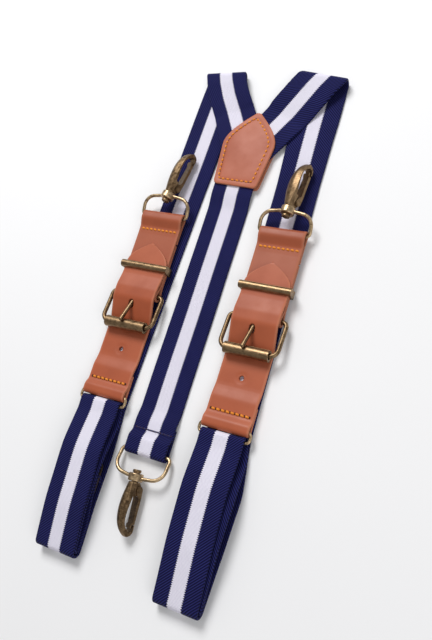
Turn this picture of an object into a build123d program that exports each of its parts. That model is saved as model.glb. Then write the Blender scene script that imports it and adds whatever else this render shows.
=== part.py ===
from build123d import *
import math
import os

# A pair of Y-back suspenders, laid out flat with the front loops folded under.
# +X is to the right, +Y runs up the back strap towards the leather patch, +Z is up.
# The origin is on the back strap's underside, near the middle of the layout, at table height.
# All lengths are in millimetres.

# ---------------------------------------------------------------- driving sizes
WEB_W = 25.4            # elastic webbing width, one inch
WEB_T = 1.5             # webbing thickness
LEATHER_W = 27.2        # leather tab width
LEATHER_T = 1.5         # leather thickness
LAYER_GAP = 0.12        # air between two layers that lie on each other

TOP_Y = {"left": 149.6, "right": 150.6}  # where each strap folds over at the top
LEFT_BOTTOM_Y = -150.5  # lowest point of the left front loop
RIGHT_BOTTOM_Y = -155.0  # lowest point of the right front loop
TAB_X = 38.5            # middle of each leather tab
BACK_X = -1.9           # middle of the back strap
PATCH_X = 0.3           # middle of the leather patch
PATCH_TURN = -1.8       # how far the patch is turned from the Y axis, degrees

RING_WIRE_R = 0.8       # lower ring wire
DRING_WIRE_R = 1.0      # swivel D-ring wire
BUCKLE_WIRE_R = 1.25    # buckle frame wire
WRAP_GAP = 0.3          # air between a ring bar and what is folded round it
BUCKLE_GAP = 0.2        # air between the buckle bar and its leather

# Heights and places along a tab
TAIL_BAR = (-67.6, 4.5)     # ring bar inside the webbing (y, z)
HEAD_BAR = (-62.0, 4.5)     # ring bar inside the lower leather
BUCKLE_BAR = (-1.5, 4.7)    # fixed bar of the buckle, in the upper leather's fold
ROLLER_BAR = (-21.3, 7.0)   # bar that carries the roller
DRING_BAR = (47.8, 4.9)     # D-ring bar, in the upper leather's top fold
UPPER_Z = (2.6, 5.6)        # bottom and top of the doubled upper leather
TIP_Y = 29.6                # rounded tip of the lower leather
KEEPER_Y = 14.6             # metal loop that holds the tip down
HOLE_Y = (-36.0, -22.3)     # spare adjusting holes
PRONG_SLOT_Y = (-11.2, -4.4)  # slot that the prong comes up through

RING_W = 31.0           # outer width of the lower ring
BUCKLE_W = 36.0         # outer width of the buckle frame
BUCKLE_CORNERS = (4.5, 2.8)  # corner radius of the buckle frame, roller side and leather side
ROLLER_R = 3.2
ROLLER_BORE_R = 1.9
ROLLER_L = 26.2
PRONG_R = 1.15
PRONG_SLANT = -1.5      # sideways shift of the prong's tip

DRING_W = 32.0          # outer width of a D-ring
# bar to the middle of the swivel collar, and the rise of each D-ring in degrees
DRING_DEPTH = {"left": 12.8, "right": 12.8, "back": 14.5}
DRING_TILT = {"left": 17.0, "right": 17.0, "back": 14.0}
BACK_DRING_BAR = (-86.4, 2.82)
COLLAR_R = 4.0
COLLAR_L = 4.3
POST_R = 1.7
POST_BORE_R = 1.78
BUTTON_R = 2.3
HOOK_L = 31.0           # collar middle to hook tip
HOOK_HALF_W = 4.2       # half width of the spine at its widest
LUG_HALF_W = 1.9        # half width of the lug between the gate's ears
GATE_HALF_W = 2.9       # half width over the gate's ears
PIN_R = 0.6
# name: (x, y-direction, yaw, dip, roll) of each hook; angles in degrees
HOOKS = {
    "left": (-TAB_X, 1, -9.0, -3.0, -30.0),
    "right": (TAB_X, 1, -4.0, -3.0, -30.0),
    "back": (BACK_X, -1, 5.0, 0.0, 30.0),
}
SIDES = {"left": -1, "right": 1}


# ---------------------------------------------------------------- small helpers
def ribbon(points, radii, width, thickness, x):
    """A flat band that follows a path of (y, z) points with rounded corners."""
    corners = [(x, y, z) for y, z in points]
    path = FilletPolyline(*corners, radius=radii)
    start = Plane(origin=path @ 0, x_dir=(1, 0, 0), z_dir=path % 0)
    return sweep(start * Rectangle(width, thickness), path=path)


def wire_path(points, radii, wire_r):
    """A round wire along an open path of points with rounded corners."""
    path = FilletPolyline(*points, radius=radii)
    start = Plane(origin=path @ 0, z_dir=path % 0)
    return sweep(start * Circle(wire_r), path=path)


def rod(start, end, radius):
    """A straight round rod between two points."""
    along = Vector(*end) - Vector(*start)
    place = Plane(origin=start, z_dir=along)
    return place * Cylinder(radius, along.length, align=(Align.CENTER, Align.CENTER, Align.MIN))


def cross_rod(x, at, radius, length):
    """A round rod across the tab, along X, centred on (y, z)."""
    return Pos(x, at[0], at[1]) * Rot(0, 90, 0) * Cylinder(radius, length)


def box_between(low, high):
    """A block between two corners."""
    size = [b - a for a, b in zip(low, high)]
    middle = [(a + b) / 2 for a, b in zip(low, high)]
    return Pos(*middle) * Box(*size)


def save(name, shape):
    """Writes one sub-part as parts/NODE.step."""
    export_step(shape, os.path.join("parts", name + ".step"))


# ---------------------------------------------------------------- webbing
BEND_TOP_Z = 6.6        # height of the outer layer over the bottom bend
LOOP_TOP_Z = 10.8       # height of the outer layer where it bulges most
SLIDER_Y = -108.0       # centre bar of the hidden adjuster
SLIDER_Z = 4.1
SLIDER_BAR_R = 0.7
SLIDER_W = 28.5         # outer width of the adjuster
SLIDER_REACH = 8.0      # centre bar to each outer bar
OVER_BAR_Z = SLIDER_Z + SLIDER_BAR_R + 0.12 + WEB_T / 2
WRAP_R = SLIDER_BAR_R + 0.25 + WEB_T / 2
TAIL_R = RING_WIRE_R + WRAP_GAP + WEB_T / 2


def front_loop_points(bottom_y):
    """The folded front run: tail at the slider, round the bend, up to the ring and back."""
    half = WEB_T / 2
    inner_y = bottom_y + 2 * WEB_T + LAYER_GAP
    outer_y = bottom_y + half
    tail_y, tail_z = TAIL_BAR
    over_tail = OVER_BAR_Z + WEB_T + LAYER_GAP
    points = [
        (SLIDER_Y - 2.4, SLIDER_Z - WRAP_R),
        (SLIDER_Y + WRAP_R, SLIDER_Z - WRAP_R),
        (SLIDER_Y + WRAP_R, SLIDER_Z + WRAP_R),
        (SLIDER_Y - 3.0, SLIDER_Z + WRAP_R),
        (SLIDER_Y - 6.0, over_tail),
        (SLIDER_Y - 11.0, over_tail),
        (SLIDER_Y - 19.0, half + WEB_T + LAYER_GAP),
        (inner_y, half + WEB_T + LAYER_GAP),
        (inner_y, BEND_TOP_Z - WEB_T - LAYER_GAP),
        (SLIDER_Y - 14.0, LOOP_TOP_Z - WEB_T - 0.35),
        (SLIDER_Y + 10.0, LOOP_TOP_Z - WEB_T - 0.35),
        (tail_y - 9.0, tail_z - TAIL_R),
        (tail_y + TAIL_R, tail_z - TAIL_R),
        (tail_y + TAIL_R, tail_z + TAIL_R),
        (tail_y - 6.0, tail_z + TAIL_R),
        (SLIDER_Y + 14.0, LOOP_TOP_Z),
        (SLIDER_Y - 16.0, LOOP_TOP_Z),
        (outer_y, BEND_TOP_Z),
        (outer_y, half),
        (SLIDER_Y - 14.8, half),
        (SLIDER_Y - 10.2, OVER_BAR_Z),
        (SLIDER_Y - 5.8, OVER_BAR_Z),
        (SLIDER_Y - 3.0, half),
        (SLIDER_Y + 3.0, half),
        (SLIDER_Y + 5.8, OVER_BAR_Z),
        (SLIDER_Y + 10.2, OVER_BAR_Z),
        (SLIDER_Y + 14.8, half),
    ]
    radii = [
        WRAP_R - 0.02, WRAP_R - 0.02, 2.0, 2.0, 3.0, 3.0, 1.25, 1.25, 20.0, 20.0, 6.0,
        TAIL_R - 0.02, TAIL_R - 0.02, 6.0, 20.0, 20.0, 2.8, 2.9, 2.0, 1.6, 1.6, 1.6, 1.6, 1.6, 1.6, 2.0,
    ]
    return points, radii


Y_RUN_Z = 2 * WEB_T + 3.6     # height of the strap just after the top fold
PATCH_LAYER_Z = LEATHER_T + 0.1 + WEB_T / 2
PATCH_END_Y = 99.0            # where the webbing ends inside the patch
RUN_START_Y = SLIDER_Y + 40.0  # where the loop ends and the slanted back run begins
# plan of each diagonal run: (y, middle x, chord along x)
Y_RUNS = {
    "left": [(TOP_Y["left"] - 4.6, -29.6, 26.0), (132.0, -21.9, 27.6), (PATCH_END_Y, -3.4, 28.6)],
    "right": [(TOP_Y["right"] - 4.6, 34.4, 28.8), (132.0, 24.8, 29.0), (PATCH_END_Y, 4.6, 29.0)],
}


def strip_section(y, x, chord, z):
    """An upright thin rectangle across the strap at one y."""
    return Plane(origin=(x, y, z), x_dir=(1, 0, 0), z_dir=(0, 1, 0)) * Rectangle(chord, WEB_T)


def diagonal_run(side):
    """The run from the top fold down to the middle of the patch, cut on the centre line."""
    (y0, x0, c0), (y1, x1, c1), (y2, x2, c2) = Y_RUNS[side]
    sign = SIDES[side]
    drop_y = PATCH_Y[1] + 1.0
    x_drop = x2 + (x1 - x2) * (drop_y - y2) / (y1 - y2)
    sections = [
        strip_section(y0, x0, c0, Y_RUN_Z),
        strip_section(y1, x1, c1, Y_RUN_Z - 1.3),
        strip_section(drop_y, x_drop, c1, PATCH_LAYER_Z),
        strip_section(y2, x2, c2, PATCH_LAYER_Z),
    ]
    run = Part()
    for a, b in zip(sections, sections[1:]):
        run += loft([a, b], ruled=True)
    other_half = box_between((-60, PATCH_END_Y - 5, -5), (0, drop_y + 20, 30))
    keep_x = sign * 0.1
    if sign > 0:
        return run - Pos(keep_x, 0, 0) * other_half
    return run - Pos(keep_x + 60, 0, 0) * other_half


def top_fold(side):
    """The half turn over the top edge."""
    x_fold, chord = Y_RUNS[side][0][1], Y_RUNS[side][0][2]
    turn_r = (Y_RUN_Z - WEB_T / 2) / 2
    end_y = Y_RUNS[side][0][0]
    points = [
        (end_y - 4.0, WEB_T / 2),
        (TOP_Y[side] - WEB_T / 2, WEB_T / 2),
        (TOP_Y[side] - WEB_T / 2, Y_RUN_Z),
        (end_y, Y_RUN_Z),
    ]
    return ribbon(points, [turn_r - 0.02, turn_r - 0.02], chord, WEB_T, x_fold)


def back_run(side):
    """The slanted flat run under the tab, from the adjuster up to the top fold."""
    end_y, x_fold, chord = Y_RUNS[side][0]
    low = strip_section(RUN_START_Y, SIDES[side] * TAB_X, WEB_W, WEB_T / 2)
    high = strip_section(end_y - 4.0, x_fold, chord, WEB_T / 2)
    return loft([low, high], ruled=True)


def front_strap(side, bottom_y):
    """One front strap, kept as three solids that meet end to end, so that collision follows each:
    the folded loop, the long back run, and the top fold with the diagonal run."""
    points, radii = front_loop_points(bottom_y)
    points.append((RUN_START_Y, WEB_T / 2))
    loop = ribbon(points, radii, WEB_W, WEB_T, SIDES[side] * TAB_X)
    return Compound(children=[loop, back_run(side), top_fold(side) + diagonal_run(side)])


BACK_WRAP_R = DRING_WIRE_R + WRAP_GAP + WEB_T / 2


def back_strap():
    """The single back strap: from inside the patch down to the fold round its D-ring."""
    bar_y, bar_z = BACK_DRING_BAR
    low = WEB_T / 2
    raised = low + WEB_T + LAYER_GAP
    points = [
        (PATCH_END_Y - 1.0, PATCH_LAYER_Z),
        (67.0, PATCH_LAYER_Z),
        (60.0, low),
        (-65.0, low),
        (-69.5, raised),
        (-78.5, raised),
        (-82.0, bar_z + BACK_WRAP_R),
        (bar_y - BACK_WRAP_R, bar_z + BACK_WRAP_R),
        (bar_y - BACK_WRAP_R, bar_z - BACK_WRAP_R),
        (-71.5, low),
    ]
    radii = [10.0, 10.0, 3.0, 3.0, 3.0, 2.0, BACK_WRAP_R - 0.02, BACK_WRAP_R - 0.02]
    return ribbon(points, radii, WEB_W, WEB_T, BACK_X)


def slider_frame(x):
    """The adjuster inside a front loop: a flat frame with a bar across its middle."""
    half = SLIDER_W / 2 - SLIDER_BAR_R
    reach = SLIDER_REACH
    corners = [
        (x, SLIDER_Y - reach, SLIDER_Z),
        (x + half, SLIDER_Y - reach, SLIDER_Z),
        (x + half, SLIDER_Y + reach, SLIDER_Z),
        (x, SLIDER_Y + reach, SLIDER_Z),
    ]
    side = wire_path(corners, [1.6, 1.6], SLIDER_BAR_R)
    middle = cross_rod(x, (SLIDER_Y, SLIDER_Z), SLIDER_BAR_R - 0.1, 2 * half)
    return side + mirror(side, about=Plane(origin=(x, 0, 0), z_dir=(1, 0, 0))) + middle


# ---------------------------------------------------------------- leather patch
PATCH_Y = (73.6, 122.9)     # bottom edge, and the apex before it is rounded
PATCH_HALF_BOTTOM = 13.9
PATCH_HALF_WAIST = 16.7
PATCH_WAIST_Y = 99.6


def patch_face():
    """Shield outline: near-straight sides, and two arcs that meet in a narrow rounded apex."""
    bottom, top = PATCH_Y
    side = Line((PATCH_HALF_BOTTOM, bottom), (PATCH_HALF_WAIST, PATCH_WAIST_Y))
    arch = Spline(
        (PATCH_HALF_WAIST, PATCH_WAIST_Y),
        (13.4, 108.6),
        (8.2, 115.0),
        (0, top),
        tangents=[(0.06, 1), (-0.74, 0.67)],
    )
    base = Line((0, bottom), (PATCH_HALF_BOTTOM, bottom))
    half = make_face([base, side, arch, Line((0, top), (0, bottom))])
    whole = half + mirror(half, about=Plane.YZ)
    corners = whole.vertices().filter_by(lambda v: abs(v.Y - bottom) < 0.1 and abs(v.X) > 5)
    whole = fillet(corners, 2.2)
    apex = whole.vertices().sort_by(Axis.Y)[-1]
    whole = fillet(apex, 2.6)
    pivot = Pos(PATCH_X, PATCH_WAIST_Y)
    return pivot * Rot(0, 0, PATCH_TURN) * Pos(0, -PATCH_WAIST_Y) * whole


def patch_layer(z):
    """One leather layer of the patch, its lower face at z."""
    return extrude(Pos(0, 0, z) * patch_face(), LEATHER_T)


def patch_stitching(z):
    """Separate stitches round the patch, lying on its face."""
    edge_inset = 3.0
    stitch, pitch = 1.9, 3.0
    line = offset(patch_face(), -edge_inset).face().outer_wire()
    count = round(line.length / pitch)
    rows = []
    for i in range(count):
        at, along = line @ (i / count), line % (i / count)
        angle = math.degrees(math.atan2(along.Y, along.X))
        rows.append(Pos(at.X, at.Y, z + 0.27) * Rot(0, 0, angle) * Box(stitch, 0.6, 0.5))
    return Compound(children=rows)


def stitch_row(x, y, z, width, count):
    """A straight row of stitches across a tab, lying on its face."""
    pitch = width / count
    rows = []
    for i in range(count):
        place = Pos(x - width / 2 + pitch * (i + 0.5), y, z + 0.27)
        rows.append(place * Box(pitch * 0.72, 0.6, 0.5))
    return Compound(children=rows)


# ---------------------------------------------------------------- leather tab
LEATHER_WRAP_R = RING_WIRE_R + WRAP_GAP + LEATHER_T / 2
LOWER_Z = HEAD_BAR[1] - LEATHER_WRAP_R      # centre height of the lower leather
ON_UPPER_Z = UPPER_Z[1] + 0.3 + LEATHER_T / 2
OVER_BUCKLE_Z = BUCKLE_BAR[1] + BUCKLE_WIRE_R + BUCKLE_GAP + LEATHER_T + 0.25 + LEATHER_T / 2
SPARE_HOLE_R = 1.4


def lower_leather(x):
    """The strap with the adjusting holes: folded round the ring, through the buckle, to its tip."""
    bar_y, bar_z = HEAD_BAR
    wrap = LEATHER_WRAP_R
    doubled = LOWER_Z + LEATHER_T + LAYER_GAP
    points = [
        (-49.0, LOWER_Z),
        (bar_y - wrap, LOWER_Z),
        (bar_y - wrap, bar_z + wrap),
        (-59.5, bar_z + wrap),
        (-56.0, doubled),
        (-47.0, doubled),
        (-42.0, LOWER_Z),
        (-19.0, LOWER_Z),
        (-5.2, OVER_BUCKLE_Z),
        (1.2, OVER_BUCKLE_Z),
        (8.6, ON_UPPER_Z),
        (TIP_Y, ON_UPPER_Z),
    ]
    radii = [wrap - 0.02, wrap - 0.02, 2.0, 4.0, 4.0, 8.0, 6.0, 5.0, 6.0, 6.0]
    strap = ribbon(points, radii, LEATHER_W, LEATHER_T, x)
    for hole_y in HOLE_Y:
        strap -= Pos(x, hole_y, LOWER_Z) * Cylinder(SPARE_HOLE_R, 3 * LEATHER_T)
    slot_x = x + PRONG_SLANT * 0.3
    slot_low = (slot_x - 1.75, PRONG_SLOT_Y[0], 3.0)
    slot_high = (slot_x + 1.75, PRONG_SLOT_Y[1], OVER_BUCKLE_Z + 3.0)
    strap -= box_between(slot_low, slot_high)
    return strap & (tip_outline(x) + box_between((x - 30, -80, -5), (x + 30, 10, 30)))


def tip_outline(x):
    """A tall block whose plan is the pointed tip of the lower leather."""
    half = LEATHER_W / 2
    start = 10.0
    shoulder = TIP_Y - 13.5
    right = Spline(
        (half, shoulder), (half * 0.70, TIP_Y - 6.5), (0, TIP_Y), tangents=[(0, 1), (-0.9, 0.44)]
    )
    outline = make_face([
        Line((0, start), (half, start)),
        Line((half, start), (half, shoulder)),
        right,
        Line((0, TIP_Y), (0, start)),
    ])
    return Pos(x, 0, 0) * extrude(outline + mirror(outline, about=Plane.YZ), 20.0)


def upper_leather(x):
    """The doubled leather between the buckle bar and the D-ring, with an eye at each end."""
    eyes = (
        (BUCKLE_BAR, BUCKLE_WIRE_R + BUCKLE_GAP),
        (DRING_BAR, DRING_WIRE_R + WRAP_GAP),
    )
    body = box_between(
        (x - LEATHER_W / 2, BUCKLE_BAR[0], UPPER_Z[0]), (x + LEATHER_W / 2, DRING_BAR[0], UPPER_Z[1])
    )
    for at, bore in eyes:
        body += cross_rod(x, at, bore + LEATHER_T, LEATHER_W)
    for at, bore in eyes:
        body -= cross_rod(x, at, bore, LEATHER_W + 2)
    prong_slot = box_between((x - 2.4, BUCKLE_BAR[0] - 6, 0), (x + 2.4, BUCKLE_BAR[0] + 3.4, 12))
    return body - prong_slot


def lower_ring(x):
    """The thin wire ring that joins the webbing to the leather tab."""
    half = RING_W / 2 - RING_WIRE_R
    low, high = TAIL_BAR, HEAD_BAR
    corners = [(x, low[0], low[1]), (x + half, low[0], low[1]), (x + half, high[0], high[1]), (x, high[0], high[1])]
    side = wire_path(corners, [2.2, 2.2], RING_WIRE_R)
    return side + mirror(side, about=Plane(origin=(x, 0, 0), z_dir=(1, 0, 0)))


def keeper(x):
    """A flat metal loop round the leather layers, with a half-round bar across the front."""
    inner_half = LEATHER_W / 2 + 0.5
    low, high = UPPER_Z[0] - 0.25, ON_UPPER_Z + LEATHER_T / 2 + 0.25
    wall = 0.7
    length = 4.4
    y0, y1 = KEEPER_Y - length / 2, KEEPER_Y + length / 2
    outer = box_between((x - inner_half - 1.0, y0, low - wall + 0.1), (x + inner_half + 1.0, y1, high + wall))
    outer = fillet(outer.edges().filter_by(Axis.Y), 0.55)
    bar = cross_rod(x, (KEEPER_Y, high + wall - 0.6), 2.2, 2 * inner_half + 2.6)
    loop = outer + bar
    inner = box_between((x - inner_half, y0 - 3, low), (x + inner_half, y1 + 3, high))
    return loop - inner


# ---------------------------------------------------------------- roller buckle
def buckle_frame(x):
    """The wire frame: fixed bar in the leather fold, two side arms and the roller bar."""
    half = BUCKLE_W / 2 - BUCKLE_WIRE_R
    low, high = ROLLER_BAR, BUCKLE_BAR
    corners = [(x, low[0], low[1]), (x + half, low[0], low[1]), (x + half, high[0], high[1]), (x, high[0], high[1])]
    side = wire_path(corners, BUCKLE_CORNERS, BUCKLE_WIRE_R)
    return side + mirror(side, about=Plane(origin=(x, 0, 0), z_dir=(1, 0, 0)))


def buckle_roller(x):
    """The rolled tube on the front bar, with its open seam."""
    tube = cross_rod(x, ROLLER_BAR, ROLLER_R, ROLLER_L) - cross_rod(x, ROLLER_BAR, ROLLER_BORE_R, ROLLER_L + 2)
    seam = Pos(x, ROLLER_BAR[0], ROLLER_BAR[1]) * Rot(25, 0, 0) * Pos(0, ROLLER_R, 0) * Box(ROLLER_L + 2, 2.4, 0.5)
    return tube - seam


def buckle_prong(x):
    """The prong: an eye round the fixed bar, and a round tongue that lies on the roller."""
    eye_r = BUCKLE_WIRE_R + 0.08
    eye = cross_rod(x, BUCKLE_BAR, 2.75, 3.2)
    tongue_low = (x, BUCKLE_BAR[0] - 1.8, BUCKLE_BAR[1] + 1.2)
    over = ROLLER_R + PRONG_R + 0.3
    tongue_high = (x + PRONG_SLANT, ROLLER_BAR[0] + 1.7, ROLLER_BAR[1] + over * cos_deg(21.0))
    tongue = rod(tongue_low, tongue_high, PRONG_R) + Pos(*tongue_high) * Sphere(PRONG_R)
    return eye + tongue - cross_rod(x, BUCKLE_BAR, eye_r, 8.0)


# ---------------------------------------------------------------- swivel hook
# A hook's own frame: +Y from the collar to the tip, +Z to the spine, X across.
GATE_PIVOT = (6.0, -2.5)
NOSE_Y = 24.1
MOUTH_Y = 9.6


def hook_outline():
    """Side view of the claw before the mouth is cut: spine over the top, nose curled under."""
    top = Spline((2.6, 3.0), (9.0, 4.3), (17.5, 5.0), (26.3, 3.1), (HOOK_L - 0.6, -0.6))
    nose = ThreePointArc((HOOK_L - 0.6, -0.6), (HOOK_L - 1.4, -4.0), (26.7, -5.1))
    under = Polyline(
        (26.7, -5.1), (NOSE_Y, -5.1), (NOSE_Y, -5.4), (9.2, -5.4), (9.0, -4.5), (5.2, -4.5), (2.6, -3.0), (2.6, 3.0)
    )
    return make_face([top, nose, under])


def mouth_outline():
    """Side view of the mouth: the room under the spine, open below for the gate."""
    roof = Spline((27.1, -0.8), (24.6, 1.6), (17.0, 2.6), (MOUTH_Y, 1.2))
    tip = ThreePointArc((26.1, -3.7), (27.8, -2.6), (27.1, -0.8))
    sill = Polyline(
        (MOUTH_Y, 1.2), (9.3, -1.2), (9.0, -8.0), (NOSE_Y, -8.0), (NOSE_Y, -3.7), (26.1, -3.7)
    )
    return make_face([roof, sill, tip])


def side_plate(outline, width):
    """A side-view outline (y, z) given a thickness across X, centred."""
    upright = Plane(origin=(-width / 2, 0, 0), x_dir=(0, 1, 0), z_dir=(1, 0, 0))
    return extrude(upright * outline, width)


def hook_plan():
    """Plan of the spine: a narrow neck, a leaf-shaped blade and a rounded tip."""
    wide = HOOK_HALF_W
    points = [(2.3, 1.0), (2.3, 4.0), (wide - 0.7, 9.0), (wide, 15.0), (wide - 0.6, 23.0), (2.4, 28.0), (1.3, HOOK_L + 0.6)]
    right = Spline(*points)
    left = Spline(*[(-x, y) for x, y in points])
    tip_x, tip_y = points[-1]
    ends = [Line((-2.3, 1.0), (2.3, 1.0)), Line((-tip_x, tip_y), (tip_x, tip_y))]
    return Pos(0, 0, -12) * extrude(make_face([right, left, *ends]), 24)


def hook_body():
    """The claw with its faceted spine, the gate's lug, and its swivel post with button head."""
    blank = side_plate(hook_outline(), 16.0)
    claw = blank & hook_plan()
    for turn in (-25.0, 25.0):
        claw = claw & (Rot(0, turn, 0) * blank)
    claw -= side_plate(mouth_outline(), 20.0)
    for sign in (-1, 1):
        claw -= Pos(sign * (LUG_HALF_W + 4.0), 6.5, -4.4) * Box(8.0, 7.0, 8.0)
    spring_y, spring_z = GATE_PIVOT
    claw -= box_between((-0.75, spring_y - 1.6, -8.0), (0.75, spring_y + 1.6, spring_z + 1.6))
    collar_face = COLLAR_L / 2
    neck = rod((0, collar_face + 0.25, 0), (0, 3.2, 0), 2.9)
    post = rod((0, -collar_face - 0.6, 0), (0, 3.2, 0), POST_R)
    button = rod((0, -collar_face - 1.9, 0), (0, -collar_face - 0.25, 0), BUTTON_R)
    button = fillet(button.edges().sort_by(Axis.Y)[0], 0.5)
    button -= rod((0, -collar_face - 2.5, 0), (0, -collar_face - 1.1, 0), 1.4)
    bore = rod((-5, *GATE_PIVOT), (5, *GATE_PIVOT), PIN_R)
    return claw + neck + post + button - bore


def hook_gate():
    """The sprung lever that closes the mouth: two ears round the lug, and a strip to the nose."""
    ear_outline = make_face([
        Polyline((4.3, -3.4), (4.7, -1.5), (6.4, -0.9), (8.2, -1.5), (10.6, -3.05), (10.6, -4.6), (5.4, -4.4), (4.3, -3.4))
    ])
    strip_outline = make_face([
        Polyline(
            (9.6, -3.05), (23.1, -3.05), (24.3, -2.3), (25.7, -2.3), (25.9, -3.0),
            (23.9, -3.4), (23.7, -4.6), (9.6, -4.6), (9.6, -3.05),
        )
    ])
    ears = side_plate(ear_outline, 2 * GATE_HALF_W) - side_plate(ear_outline, 2 * LUG_HALF_W + 0.4)
    half = GATE_HALF_W
    plan = make_face([Polyline((-half, 9.0), (half, 9.0), (2.2, 26.5), (-2.2, 26.5), (-half, 9.0))])
    strip = side_plate(strip_outline, 2 * half) & (Pos(0, 0, -12) * extrude(plan, 24))
    bore = rod((-5, *GATE_PIVOT), (5, *GATE_PIVOT), PIN_R + 0.06)
    return ears + strip - bore


def gate_pin():
    """The rivet that the gate turns on, with a head outside each ear."""
    reach = GATE_HALF_W + 0.3
    pin = rod((-reach, *GATE_PIVOT), (reach, *GATE_PIVOT), PIN_R)
    for sign in (-1, 1):
        head_in = (sign * (GATE_HALF_W + 0.06), *GATE_PIVOT)
        head_out = (sign * reach, *GATE_PIVOT)
        pin += rod(head_in, head_out, 1.0)
    return pin


def gate_spring():
    """A small torsion spring round the pin, beside the gate's eye."""
    wire_r = 0.16
    coil = Helix(pitch=0.38, height=0.76, radius=PIN_R + 0.32)
    body = sweep(Plane(origin=coil @ 0, z_dir=coil % 0) * Circle(wire_r), path=coil, is_frenet=True)
    return Pos(-0.38, *GATE_PIVOT) * Rot(0, 90, 0) * body


def d_ring(depth, tilt, yaw, dip):
    """The D-ring in its own frame: bar on the X axis, collar at +Y, risen by tilt."""
    half = DRING_W / 2 - DRING_WIRE_R
    corners = [(0, 0), (half, 0), (half, depth - 1.6), (0, depth + 0.5)]
    lifted = [(x, y * cos_deg(tilt), y * sin_deg(tilt)) for x, y in corners]
    side = wire_path(lifted, [2.4, 6.8], DRING_WIRE_R)
    ring = side + mirror(side, about=Plane.YZ)
    place = collar_place(depth, tilt, yaw, dip)
    collar = place * lay_along(COLLAR_R, COLLAR_L)
    bore = place * lay_along(POST_BORE_R, COLLAR_L + 6)
    return ring + fillet(collar.edges(), 0.7) - bore


def lay_along(radius, length):
    """A cylinder along +Y, centred."""
    return Rot(90, 0, 0) * Cylinder(radius, length)


def collar_place(depth, tilt, yaw, dip):
    """Where a hook's frame sits in its D-ring's frame."""
    at = (0, depth * cos_deg(tilt), depth * sin_deg(tilt))
    return Pos(*at) * Rot(0, 0, yaw) * Rot(dip, 0, 0)


def cos_deg(angle):
    return math.cos(math.radians(angle))


def sin_deg(angle):
    return math.sin(math.radians(angle))


# ---------------------------------------------------------------- assembly
def hook_pieces():
    """Every hook with its D-ring, placed at its strap or tab."""
    pieces = {}
    for name, (x, heading, yaw, dip, roll) in HOOKS.items():
        bar = BACK_DRING_BAR if name == "back" else DRING_BAR
        depth, tilt = DRING_DEPTH[name], DRING_TILT[name]
        ring_place = Pos(x, *bar) * Rot(0, 0, 0 if heading > 0 else 180)
        hook_place = ring_place * collar_place(depth, tilt, yaw, dip) * Rot(0, roll, 0)
        pieces[name + "_d_ring"] = ring_place * d_ring(depth, tilt, yaw, dip)
        pieces[name + "_hook_body"] = hook_place * hook_body()
        pieces[name + "_hook_gate"] = hook_place * hook_gate()
        pieces[name + "_gate_pin"] = hook_place * gate_pin()
        pieces[name + "_gate_spring"] = hook_place * gate_spring()
    return pieces


def tab_pieces(side):
    """The ring, leathers, stitches, buckle, keeper and adjuster of one front strap."""
    x = SIDES[side] * TAB_X
    doubled_top = LOWER_Z + 1.5 * LEATHER_T + LAYER_GAP
    return {
        side + "_lower_ring": lower_ring(x),
        side + "_lower_leather": lower_leather(x),
        side + "_lower_stitching": stitch_row(x, -54.4, doubled_top, 22.4, 8),
        side + "_upper_leather": upper_leather(x),
        side + "_upper_stitching": stitch_row(x, 38.8, UPPER_Z[1], 24.0, 9),
        side + "_keeper": keeper(x),
        side + "_buckle_frame": buckle_frame(x),
        side + "_buckle_roller": buckle_roller(x),
        side + "_buckle_prong": buckle_prong(x),
        side + "_slider": slider_frame(x),
    }


def webbing_pieces():
    """The three straps, the patch and the sewn lines that join them."""
    patch_top = PATCH_LAYER_Z + WEB_T / 2 + 0.1
    sewn_z = 2 * WEB_T + LAYER_GAP
    return {
        "left_front_strap": front_strap("left", LEFT_BOTTOM_Y),
        "right_front_strap": front_strap("right", RIGHT_BOTTOM_Y),
        "back_strap": back_strap(),
        "back_strap_stitching": stitch_row(BACK_X, -74.8, sewn_z, 22.0, 9),
        "patch_back": patch_layer(0.0),
        "patch_front": patch_layer(patch_top),
        "patch_stitching": patch_stitching(patch_top + LEATHER_T),
    }


def main():
    """Builds and writes every sub-part."""
    os.makedirs("parts", exist_ok=True)
    pieces = webbing_pieces()
    for side in SIDES:
        pieces.update(tab_pieces(side))
    pieces.update(hook_pieces())
    for name, shape in pieces.items():
        save(name, shape)
        print(name, round(shape.volume))


main()
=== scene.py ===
import math
import random

import bmesh
import bpy
from mathutils import Matrix, Vector, noise


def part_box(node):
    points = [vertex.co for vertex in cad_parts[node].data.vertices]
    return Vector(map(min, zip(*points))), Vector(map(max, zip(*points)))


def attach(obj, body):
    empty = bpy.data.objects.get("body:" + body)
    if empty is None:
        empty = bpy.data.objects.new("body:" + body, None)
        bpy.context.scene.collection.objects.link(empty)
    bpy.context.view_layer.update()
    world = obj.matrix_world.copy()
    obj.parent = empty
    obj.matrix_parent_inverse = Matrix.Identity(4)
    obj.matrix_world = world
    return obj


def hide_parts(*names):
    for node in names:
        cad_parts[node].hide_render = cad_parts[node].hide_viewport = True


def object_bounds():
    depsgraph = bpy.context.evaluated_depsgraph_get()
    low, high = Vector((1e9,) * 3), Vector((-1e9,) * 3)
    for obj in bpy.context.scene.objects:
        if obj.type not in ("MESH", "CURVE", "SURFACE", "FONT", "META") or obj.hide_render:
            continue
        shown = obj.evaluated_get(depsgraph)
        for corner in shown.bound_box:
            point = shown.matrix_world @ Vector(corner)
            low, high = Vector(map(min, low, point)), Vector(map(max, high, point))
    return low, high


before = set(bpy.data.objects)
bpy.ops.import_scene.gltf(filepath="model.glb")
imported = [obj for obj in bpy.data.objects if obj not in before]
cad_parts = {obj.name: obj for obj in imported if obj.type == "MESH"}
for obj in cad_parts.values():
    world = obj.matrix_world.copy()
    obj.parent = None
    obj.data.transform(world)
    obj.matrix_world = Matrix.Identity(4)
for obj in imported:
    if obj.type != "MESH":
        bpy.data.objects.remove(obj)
CAD_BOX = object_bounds()

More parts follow.
